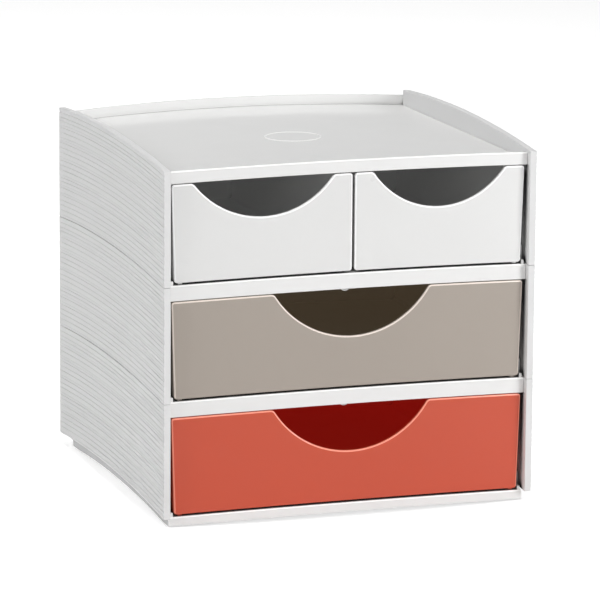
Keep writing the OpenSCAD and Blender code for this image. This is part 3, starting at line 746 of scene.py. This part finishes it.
def plinth_ring(z_top):
    """Side and rear walls of the plinth in one, turning the rear corners, a skin inside the rails."""
    half = SHELF_HALF - 3 * SKIN
    line = [(half, y) for y in np.linspace(plinth_start, PLINTH_END - PLINTH_ROUND, SIDE_PLACES)]
    corner = (half - PLINTH_ROUND, PLINTH_END - PLINTH_ROUND)
    line += [(corner[0] + PLINTH_ROUND * math.cos(a), corner[1] + PLINTH_ROUND * math.sin(a))
             for a in np.radians(np.arange(CORNER_STEP, 90, CORNER_STEP))]
    line += [(x, PLINTH_END) for x in np.linspace(corner[0], 0, REAR_PLACES)]
    line += [(-x, y) for x, y in line[-2::-1]]
    outer = np.array(line)
    along = np.gradient(outer, axis=0)
    normal = np.stack([-along[:, 1], along[:, 0]], 1)
    inner = outer + normal / np.linalg.norm(normal, axis=1, keepdims=True) * SKIRT
    sections = []
    for (x0, y0), (x1, y1) in zip(outer, inner):
        low, r = plinth_low(y0), THIN_ROUND
        u = np.array([x1 - x0, y1 - y0]) / SKIRT
        profile, _ = rounded_outline([(0, low, r), (SKIRT, low, r), (SKIRT, z_top, 0), (0, z_top, 0)])
        sections.append(np.stack([x0 + u[0] * profile[:, 0], y0 + u[1] * profile[:, 0], profile[:, 1]], 1))
    # The whole plinth is marked for painted shade, drawn in the casing's inner grey.
    return sweep(sections, np.full(len(profile), SHADED))


print(f"plinth arch radius {arch_radius:.3f} m")

# %% [markdown]
# ## Floor and its round bosses
# Each foot pad sits in a round boss, made as on a lathe: its outline is drawn once and carried round an
# axis. The tray's ring is made the same way.

# %% Floor
FOOT_X, FOOT_D, FOOT_BOSS, BOSS_CORE = 106 * MM, 12 * MM, 1.6 * MM, 0.5 * MM


def lathe(profile, centre, steps=48):
    """A closed shell turned about a vertical axis, from (radius, height) points on its outline."""
    turns = np.linspace(0, 2 * math.pi, steps, endpoint=False)
    points = [(centre[0] + r * math.cos(a), centre[1] + r * math.sin(a), centre[2] + z)
              for a in turns for r, z in profile]
    size = len(profile)
    starts = [(i * size, ((i + 1) % steps) * size) for i in range(steps)]
    faces = [(a + j, b + j, b + j + 1, a + j + 1) for a, b in starts for j in range(size - 1)]
    faces.append(tuple(i * size for i in range(steps)))
    faces.append(tuple(i * size + size - 1 for i in range(steps)))
    return points, faces, np.zeros(len(points))


top = shelf_top(0)
floor_across = ACROSS * (1 - 4 * SKIN / SHELF_HALF)
shells = [plate_and_front(FOOT, top, floor_across), plinth_ring(top - PLATE / 2)]
rails = side_rails(top - PLATE, top + FLANGE_RISE, FOOT + PLINTH_ARCH, top)
# The floor's side rails are marked for painted shade too.
shells += [(points, faces, np.full(len(points), SHADED)) for points, faces, _ in rails]
shells += guide_lips(top) + webs(FOOT, top, PLINTH_END - SKIRT / 2)
boss, boss_top = FOOT_D / 2 + FOOT_BOSS, top - PLATE / 2 - FOOT
boss_outline = [
    (BOSS_CORE, 0), (boss - THIN_ROUND, 0), (boss, THIN_ROUND), (boss, boss_top), (BOSS_CORE, boss_top)]
for x in (-FOOT_X, FOOT_X):
    for y in (Y_FRONT + FOOT_INSET, PLINTH_END - FOOT_INSET):
        shells.append(lathe(boss_outline, (x, y, FOOT)))
piece("bottom_floor_moulding", shells, CASING, "casing", ["bottom_floor"])

# %% [markdown]
# ## Tray
# The top is a tray: its front edge stands up above a glossy floor that falls a little to the rear. In its
# middle is a round dish with a raised ring. Cutting the dish would break up the floor's long quads, so the
# floor stays whole and only the ring is made, turned on a lathe and tilted with the floor. Here the dish
# is level with the floor around it.

# %% Tray
TRAY_DROP, TRAY_FALL, TRAY_FILLET, TRAY_SKIRT = 4.9 * MM, 4.6 * MM, 1.2 * MM, 8 * MM
TRAY_TOP = shelf_bottom(3) + TRAY_EDGE
TRAY_FLOOR = TRAY_TOP - TRAY_DROP
TRAY_SLOPE = math.atan2(TRAY_FALL, Y_REAR - Y_FRONT)
DISH_D, DISH_DEPTH, DISH_RING, DISH_ROUND = 37 * MM, 0.6 * MM, 1.6 * MM, 0.25 * MM
DISH_STEPS, PAINTED_DISH_HIGHLIGHT = 96, 0.3


def tray_z(y):
    """Height of the tray floor at its ends."""
    return TRAY_FLOOR - (y - Y_FRONT) * math.tan(TRAY_SLOPE)


def tray_shell():
    """Floor and front edge of the tray in one section that follows both bows."""
    sections = []
    for x in ACROSS:
        y_in, y_out = front_y(x, SKIRT), back_y(x, PLATE_REAR)
        # The tray's upper front edges are marked rims with a painted highlight.
        flat, marks = rounded_outline([
            (front_y(x), shelf_bottom(3), THIN_ROUND), (y_in, shelf_bottom(3), THIN_ROUND),
            (y_in, tray_z(y_in) - PLATE, 0), (y_out, tray_z(y_out) - PLATE, THIN_ROUND),
            (y_out, tray_z(y_out), THIN_ROUND), (y_in, tray_z(y_in), TRAY_FILLET),
            (y_in, TRAY_TOP, EDGE_ROUND, True), (front_y(x), TRAY_TOP, EDGE_ROUND, True)])
        sections.append(at_x(x, flat + (0, arch(x))))
    return sweep(sections, marks)


def dish_shell():
    """Ring round the dish, turned about the tray floor's normal."""
    inner, outer, up = DISH_D / 2, DISH_D / 2 + DISH_RING, DISH_DEPTH / 2
    r = DISH_ROUND
    cut = r * 0.3
    profile = [
        (outer, -MM), (outer, up - r), (outer - cut, up - cut), (outer - r, up), (inner + r, up),
        (inner + cut, up - cut), (inner, up - r), (inner - 0.1 * MM, -up),
        (inner - 0.5 * MM, -up - 0.15 * MM)]
    points, faces, _ = lathe(profile, (0, 0, 0), DISH_STEPS)
    # The top of the ring gets a painted highlight.
    marks = np.tile([0] + [PAINTED_DISH_HIGHLIGHT] * 5 + [0] * 3, DISH_STEPS)
    place = Matrix.Translation((0, Y_MID, tray_z(Y_MID) + FRONT_ARCH))
    tilt = place @ Matrix.Rotation(-TRAY_SLOPE, 4, "X")
    return [tuple(tilt @ Vector(p)) for p in points], faces, marks


tray_low, tray_high = tray_z(Y_REAR) - PLATE - TRAY_SKIRT, tray_z(Y_REAR) - PLATE / 2
shells = [tray_shell(), dish_shell(), rear_edge(tray_low, tray_high, 0)]
shells += on_both_sides((FLANGE_X, FLANGE_Y, tray_low), (SHELF_HALF - SKIN, FLANGE_END, tray_high))
piece("top_tray_moulding", shells, CASING, "casing", ["top_tray"])

# %% [markdown]
# ## Back panels
# Each level closes with a bowed panel. The uppermost one stands above the tray as its rear rim, so its
# edge is rounded like a lip. The sweep that made the shelves makes these too, measured from the bowed back
# alone.

# %% Back panels
RIM, LIP_ROUND = 7.0 * MM, 0.8 * MM
BACK_ACROSS = np.linspace(-BACK_HALF, BACK_HALF, PLACES_ACROSS)
for level, level_name in enumerate(LEVEL_NAMES):
    low = shelf_top(level) + FIT
    high = tray_z(Y_REAR) + RIM if level == 2 else shelf_top(level + 1)
    shell = across([
        ("b", BACK_WALL, low, THIN_ROUND), ("b", 0, low, EDGE_ROUND), ("b", 0, high, LIP_ROUND),
        ("b", BACK_WALL, high, LIP_ROUND)], BACK_ACROSS)
    piece(f"{level_name}_back_panel", [shell], CASING, "casing", [f"{level_name}_back"])

# %% [markdown]
# ## Finger scoops
# Each front has a round scoop for the fingers: one large arc that runs into the arched upper edge over two
# small shoulders. A boolean cut would leave a sharp, badly shaded scoop, so the arcs are drawn into the
# front's outline.

# %% Scoops and arched edges
SHOULDER, SHOULDER_STEPS, BOWL_STEPS = 4 * MM, 8, 48


def arc_points(centre, radius, start, end, steps):
    """Points of an arc between two angles in degrees."""
    turns = np.radians(np.linspace(start, end, steps + 1))
    return np.stack([centre[0] + radius * np.cos(turns), centre[1] + radius * np.sin(turns)], 1)


def scoop_line(x, z, radius, depth):
    """The scoop and its two shoulders in an arched upper edge, from right to left."""
    centre = np.array([x, z + arch(x) - depth + radius])
    mouth = math.sqrt(radius**2 - (radius - depth) ** 2) + SHOULDER / 2
    drops = [centre[1] - (z + arch(x + s * mouth) - SHOULDER) for s in (1, -1)]
    reaches = [math.sqrt((radius + SHOULDER) ** 2 - d * d) for d in drops]
    tilts = [math.degrees(math.atan2(d, r)) for d, r in zip(drops, reaches)]
    centres = [(x + s * r, centre[1] - d) for s, r, d in zip((1, -1), reaches, drops)]
    right = arc_points(centres[0], SHOULDER, 90, 180 - tilts[0], SHOULDER_STEPS)
    bowl = arc_points(centre, radius, -tilts[0], tilts[1] - 180, BOWL_STEPS)
    left = arc_points(centres[1], SHOULDER, tilts[1], 90, SHOULDER_STEPS)
    return np.concatenate([right, bowl[1:-1], left])


def edge_line(x0, x1, z, count):
    """An arched edge from x0 to x1 whose ends would be at height z."""
    xs = np.linspace(x0, x1, count + 1)
    return np.stack([xs, z + arch(xs)], 1)


print("a scoop's outline has", 2 * SHOULDER_STEPS + BOWL_STEPS + 1, "points")

# %% [markdown]
# ## Drawer fronts
# A drawer front is a bowed plate with drafted sides and rounded corners. Its edges are rounded by almost a
# millimetre, and that rim gets a painted highlight. The outline is filled with a grid of quads and
# joined to the back by rings that turn the edge. The painted highlight depends on where the rim faces:
# full at the top, partly at the sides and none below, where no light reaches it.

# %% Drawer front
FRONT_T, SETBACK, FRONT_ROUND, INNER_ROUND, CORNER = 2.6 * MM, 0.4 * MM, 0.9 * MM, 0.6 * MM, 2 * MM
DRAWER_GAP, TOP_GAP, MIDDLE_GAP, DRAFT = 1.4 * MM, 0.7 * MM, 1.8 * MM, 2.1 * MM
FRONT_HALF = IN_HALF - 2 * MM
CORNER_STEPS, SIDE_ROWS, TOP_STEPS, LOW_STEPS = 6, 8, 8, 60
# Share of the painted highlight on the sides of a front.
PAINTED_SIDE_HIGHLIGHT = 0.65


def front_rim(edges, drafts, z0, z1, scoop):
    """Outline of a front, counterclockwise from the lower left corner, with its column and row counts.

    Each corner's arc is shared between the two lines that meet there.
    """
    (left, right), (low_left, low_right) = edges, (edges[0] + drafts[0], edges[1] - drafts[1])
    half = CORNER_STEPS // 2
    corner = lambda p, a, b: rounded_corner(p, a, b, CORNER, CORNER_STEPS)
    beside = lambda x, z: edge_line(x, x, z, 0)[0]
    tl, tr = (left, z1 + arch(left)), (right, z1 + arch(right))
    bl, br = (low_left, z0 + arch(low_left)), (low_right, z0 + arch(low_right))
    top_right = corner(tr, br, beside(right - CORNER, z1))
    top_left = corner(tl, beside(left + CORNER, z1), bl)
    low_r = corner(br, beside(low_right - CORNER, z0), tr)
    low_l = corner(bl, tl, beside(low_left + CORNER, z0))
    top = np.concatenate([
        top_right[half:-1], edge_line(right - CORNER, scoop[0, 0], z1, TOP_STEPS)[:-1], scoop[:-1],
        edge_line(scoop[-1, 0], left + CORNER, z1, TOP_STEPS), top_left[1 : half + 1]])
    low_edge = edge_line(low_left + CORNER, low_right - CORNER, z0, LOW_STEPS)
    low = np.concatenate([low_l[half:], low_edge[1:-1], low_r[: half + 1]])
    across_share = (top[::-1, 0] - top[-1, 0]) / (top[0, 0] - top[-1, 0])
    goal = low[0, 0] + across_share * (low[-1, 0] - low[0, 0])
    bottom = np.stack([goal, np.interp(goal, low[:, 0], low[:, 1])], 1)
    up = np.linspace(0, 1, SIDE_ROWS + 1)[:, None]
    rise, fall = (1 - up) * low_r[-1] + up * top_right[0], (1 - up) * top_left[-1] + up * low_l[0]
    side_right = np.concatenate([low_r[half:-1], rise, top_right[1 : half + 1]])
    side_left = np.concatenate([top_left[half:-1], fall, low_l[1 : half + 1]])
    rim = np.concatenate([bottom[:-1], side_right[:-1], top[:-1], side_left[:-1]])
    return rim, len(bottom) - 1, len(side_right) - 1


def front_shell(edges, drafts, z0, z1, scoop):
    """A bowed front with its rounded rim; all that lies behind the rim is marked for painted shade."""
    rim, columns, rows = front_rim(edges, drafts, z0, z1, scoop)
    place = lambda flat, depth: np.stack(
        [flat[..., 0], front_y(flat[..., 0], SETBACK + depth), flat[..., 1]], -1)
    ring, face = layers(rim, columns, rows, place)
    turn = quarter(FRONT_ROUND, 90, 60, 30, 0)
    rings = [ring(inset, depth) for inset, depth in turn]
    rings += [ring(inset, FRONT_T - depth) for inset, depth in quarter(INNER_ROUND, 0, 30, 60)]
    upward = -inward(rim)[:, 1]
    # Painted highlight by facing: full on top rims, part on the sides, none on the bottom rim.
    painted_glow = PAINTED_SIDE_HIGHLIGHT + np.where(upward > 0, 1 - PAINTED_SIDE_HIGHLIGHT, PAINTED_SIDE_HIGHLIGHT) * upward
    ends = face(FRONT_ROUND + RIM_FADE, 0), face(INNER_ROUND, FRONT_T)
    points, faces, marks = capped_rings(ends[0], rings, ends[1], range(len(turn) - 1), painted_glow)
    marks[points[:, 1] > front_y(points[:, 0], SETBACK + FRONT_ROUND * 1.1)] = SHADED
    return points, faces, marks


print("drawer front", round(2 * FRONT_HALF, 4), "m wide at the top")

# %% [markdown]
# ## The tub behind a front
# The floor and the side walls of a drawer are one section that is carried straight back, with fillets
# where they meet, as a mould needs them. The rear wall is a ring stack like the front, and two runners
# carry the drawer. A box with a solidify modifier would look alike, but its walls could not lean outwards
# and arch.

# %% Tub
WALL, BASE, BOX_REAR = 2 * MM, 2 * MM, Y_REAR - 3 * MM
OUTER_INSET, INNER_INSET, OUTER_LEAN, INNER_LEAN = 1.1 * MM, 1.2 * MM, 1.4 * MM, 0.8 * MM
TUB_ROUND, WALL_ROUND, TUB_FILLET, TUB_SKIN = 1.2 * MM, 0.7 * MM, 2.5 * MM, 0.02 * MM
BASE_START, BASE_POINTS, TUB_PLACES = 6 * MM, 24, 9
REAR_COLUMNS, REAR_ROWS = 30, 8
RUNNER, RUNNER_INSET, RUNNER_LEAD, RUNNER_ROUND = 3.2 * MM, 2.2 * MM, 1 * MM, 0.4 * MM


def tub_section(low_x, top_x, low, high):
    """Section of the floor and the side walls as (x, height), counterclockwise, with its rim marks."""
    xs = np.linspace(low_x[0] + BASE_START, low_x[1] - BASE_START, BASE_POINTS)
    lows, highs = [low + arch(x) for x in low_x], [high + arch(x) for x in top_x]
    out = [(low_x[0], lows[0], TUB_ROUND)]
    out += [(x, low + arch(x), 0) for x in xs]
    out += [(low_x[1], lows[1], TUB_ROUND)]
    out += [(top_x[1], highs[1], WALL_ROUND), (top_x[1] - WALL, highs[1], WALL_ROUND)]
    out += [(low_x[1] - WALL, lows[1] + BASE, TUB_FILLET)]
    out += [(x, low + BASE + arch(x), 0) for x in xs[::-1]]
    out += [(low_x[0] + WALL, lows[0] + BASE, TUB_FILLET)]
    out += [(top_x[0] + WALL, highs[0], WALL_ROUND), (top_x[0], highs[0], WALL_ROUND)]
    return rounded_outline(out)


def tub_channel(low_x, top_x, low, high):
    """Floor and side walls; the faces inside are marked for painted shade."""
    section, marks = tub_section(low_x, top_x, low, high)
    up = (section[:, 1] - low) / (high - low)
    far = [abs(section[:, 0] - low_x[i] - up * (top_x[i] - low_x[i])) for i in (0, 1)]
    inner = (np.minimum(*far) > WALL / 2) & (section[:, 1] > low + arch(section[:, 0]) + BASE / 2)
    start = front_y(section[:, 0], SETBACK + FRONT_T * 0.7)
    end = BOX_REAR - WALL / 2
    channel = [
        np.stack([section[:, 0], start * (1 - t) + end * t, section[:, 1]], 1)
        for t in np.linspace(0, 1, TUB_PLACES)]
    return sweep(channel, np.where(inner, SHADED, marks))


def tub_rear(low_x, top_x, low, high):
    """Rear wall, a skin inside the channel's outline."""
    left, right = top_x[0] + TUB_SKIN, top_x[1] - TUB_SKIN
    low_left, low_right = low_x[0] + TUB_SKIN, low_x[1] - TUB_SKIN
    ends = [(x, z + arch(x)) for x, z in ((low_right, low), (right, high), (left, high), (low_left, low))]
    outline = np.concatenate([
        edge_line(low_left, low_right, low + TUB_SKIN, REAR_COLUMNS)[:-1],
        np.linspace(ends[0], ends[1], REAR_ROWS + 1)[:-1],
        edge_line(right, left, high, REAR_COLUMNS)[:-1],
        np.linspace(ends[2], ends[3], REAR_ROWS + 1)[:-1]])
    place = lambda flat, y: np.stack([flat[..., 0], np.full(flat.shape[:-1], y), flat[..., 1]], -1)
    ring, face = layers(outline, REAR_COLUMNS, REAR_ROWS, place)
    r, y_in = WALL_ROUND, BOX_REAR - WALL
    rings = [ring(inset, y_in + depth) for depth, inset in quarter(r, 30, 60, 90)]
    rings += [ring(inset, BOX_REAR - depth) for inset, depth in quarter(r, 0, 30, 60)]
    points, faces, marks = capped_rings(face(r, y_in), rings, face(r, BOX_REAR))
    # The rear wall's inner face is marked for painted shade.
    marks[: (REAR_COLUMNS + 1) * (REAR_ROWS + 1)] = SHADED
    return points, faces, marks


def runners(low_x, low):
    """Two bars below the tub, on which the drawer slides."""
    shells = []
    for side, x in ((1, low_x[0]), (-1, low_x[1])):
        x0 = x + side * RUNNER_INSET
        x1 = x0 + side * RUNNER
        near = min(abs(x0), abs(x1))
        start = (min(x0, x1), Y_FRONT + RECESS + RUNNER_LEAD, low - DRAWER_GAP + arch(near))
        shells.append(bar(start, (max(x0, x1), BOX_REAR, low + BASE / 2 + arch(near)), RUNNER_ROUND))
    return shells


def tub_shells(edges, drafts, z_top, z_low, drop):
    """Floor, side walls, rear wall and runners; a side without draft is the one beside the divider."""
    inset = [OUTER_INSET if d > 0 else INNER_INSET for d in drafts]
    lean = [OUTER_LEAN if d > 0 else INNER_LEAN for d in drafts]
    top_x = (edges[0] + inset[0], edges[1] - inset[1])
    low_x = (top_x[0] + lean[0], top_x[1] - lean[1])
    walls = (low_x, top_x, z_low + FIT, z_top - drop)
    return [tub_channel(*walls), tub_rear(*walls), *runners(low_x, z_low + FIT)]


print("tub wall", WALL, "m, runner", RUNNER, "m wide")

# %% [markdown]
# ## The four drawers
# Two wide drawers and two small ones differ only in width, level, scoop and colour. The small ones share
# one shape, mirrored, so each drawer is one call.

# %% The four drawers
def drawer(body, level, material, slot, edges, drafts, drop, radius, depth):
    """One drawer as a single moulding: front, tub and runners."""
    z0, z1 = shelf_top(level) + DRAWER_GAP, shelf_bottom(level + 1) - TOP_GAP
    scoop = scoop_line(sum(edges) / 2, z1, radius, depth)
    shells = [front_shell(edges, drafts, z0, z1, scoop), *tub_shells(edges, drafts, z1, z0, drop)]
    piece(f"{body}_moulding", shells, material, body, [body])


WIDE = dict(
    edges=(-FRONT_HALF, FRONT_HALF), drafts=(DRAFT, DRAFT), drop=1.2 * MM, radius=64 * MM, depth=31.9 * MM)
SMALL = dict(drop=3.9 * MM, radius=58.7 * MM, depth=25.7 * MM)
LEFT = dict(edges=(-FRONT_HALF, -MIDDLE_GAP / 2), drafts=(DRAFT, 0))
RIGHT = dict(edges=(MIDDLE_GAP / 2, FRONT_HALF), drafts=(0, DRAFT))
drawer("bottom_drawer", 0, CORAL, "coral_drawer", **WIDE)
drawer("middle_drawer", 1, TAUPE, "taupe_drawer", **WIDE)
drawer("small_drawer_left", 2, WHITE, "white_drawer", **LEFT, **SMALL)
drawer("small_drawer_right", 2, WHITE, "white_drawer", **RIGHT, **SMALL)

# %% [markdown]
# ## Pieces that keep their CAD shape
# The divider, the stop tabs and the foot pads are plain mouldings whose CAD shape is already right. They
# only need softened edges and their finish, so each gets a bevel and a material.

# %% Divider, stops and feet
SOFT_EDGE = 0.25 * MM
for name, material in (("drawer_divider", CASING), ("drawer_stops", CASING), ("foot_pads", RUBBER)):
    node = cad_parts[name]
    for slot in node.material_slots:
        slot.material = material
    soften = node.modifiers.new("soft_edges", "BEVEL")
    soften.width = SOFT_EDGE
    soften.segments = 2
    soften.limit_method = "ANGLE"
    print(name, "keeps its CAD shape")

# %% [markdown]
# ## Studio floor
# The floor is pale and catches the soft shadow. It glows a little to the camera and in reflections, so it
# stays white without more light on the cabinet.

# %% Studio floor
FLOOR_REACH = 12.0
floor_mesh = bpy.data.meshes.new("studio_floor")
floor_corners = [(x * FLOOR_REACH, y * FLOOR_REACH, 0) for x, y in ((-1, -1), (1, -1), (1, 1), (-1, 1))]
floor_mesh.from_pydata(floor_corners, [], [(0, 1, 2, 3)])
floor = bpy.data.objects.new("studio_floor", floor_mesh)
bpy.context.scene.collection.objects.link(floor)
paper = Shader("studio_paper", Roughness=0.9, Specular_IOR_Level=0.1, Emission_Strength=1)
paper.set("Base Color", paper.mix(paper.noise(3, 2), (0.79, 0.79, 0.79, 1), (0.81, 0.81, 0.81, 1)))
mirror_glow = paper.mix(paper.ray("Glossy"), BLACK, (0.65, 0.65, 0.65, 1))
paper.set("Emission Color", paper.mix(paper.ray("Camera"), mirror_glow, (0.6, 0.6, 0.6, 1)))
floor_mesh.materials.append(paper.material)
bpy.context.scene.view_settings.view_transform = "Standard"
print("floor reaches", FLOOR_REACH, "m each way")

# %% [markdown]
# ## Light
# Light comes from a large panel in front on the right, one high on the left, one high at the rear, and a
# dome that is brightest in front. To the camera the dome is plain white. In reflections only its rear half
# shows, dimmed: the glossy tray mirrors that and its own rim, while the fronts keep their full colour.

# %% Dome and lamps
class Dome(Shader):
    """The world's light, written with the same language as the materials."""

    def __init__(self, name):
        world = bpy.data.worlds.new(name)
        world.use_nodes = True
        bpy.context.scene.world = world
        self.tree = world.node_tree
        self.surface = self.tree.nodes["Background"]


FRONT_LIGHT, REAR_GLOSS = 1.0, 0.56
LAMP_AIM, LAMP_SIZE = Vector((0, 0, 0.12)), 0.8

dome = Dome("studio_dome")
dome.set("Color", (1, 1, 1, 1))
camera_ray, glossy_ray = dome.ray("Camera"), dome.ray("Glossy")
direction = dome.node("ShaderNodeTexCoord", output="Generated")
depth = dome.node("ShaderNodeSeparateXYZ", {}, {0: direction}, output="Y")
in_front, behind = depth.map(-1, 0, FRONT_LIGHT, 0), depth.map(0, 1, 0, REAR_GLOSS)
dome.set("Strength", camera_ray + glossy_ray * behind + (1 - camera_ray - glossy_ray) * in_front)


def lamp(name, place, watts):
    """A square soft light at a place, turned towards the middle of the cabinet."""
    light = bpy.data.lights.new(name, "AREA")
    light.size = LAMP_SIZE
    light.energy = watts
    made = bpy.data.objects.new(name, light)
    aim = (LAMP_AIM - Vector(place)).to_track_quat("-Z", "Y").to_matrix().to_4x4()
    made.matrix_world = Matrix.Translation(place) @ aim
    bpy.context.scene.collection.objects.link(made)
    print(name, "at", place, watts, "W")


lamp("key_panel", (1.45, -1.45, 0.75), 18)
lamp("side_panel", (-1.876, -0.331, 1.22), 16.5)
lamp("rear_panel", (0, 1.1, 2.025), 23)
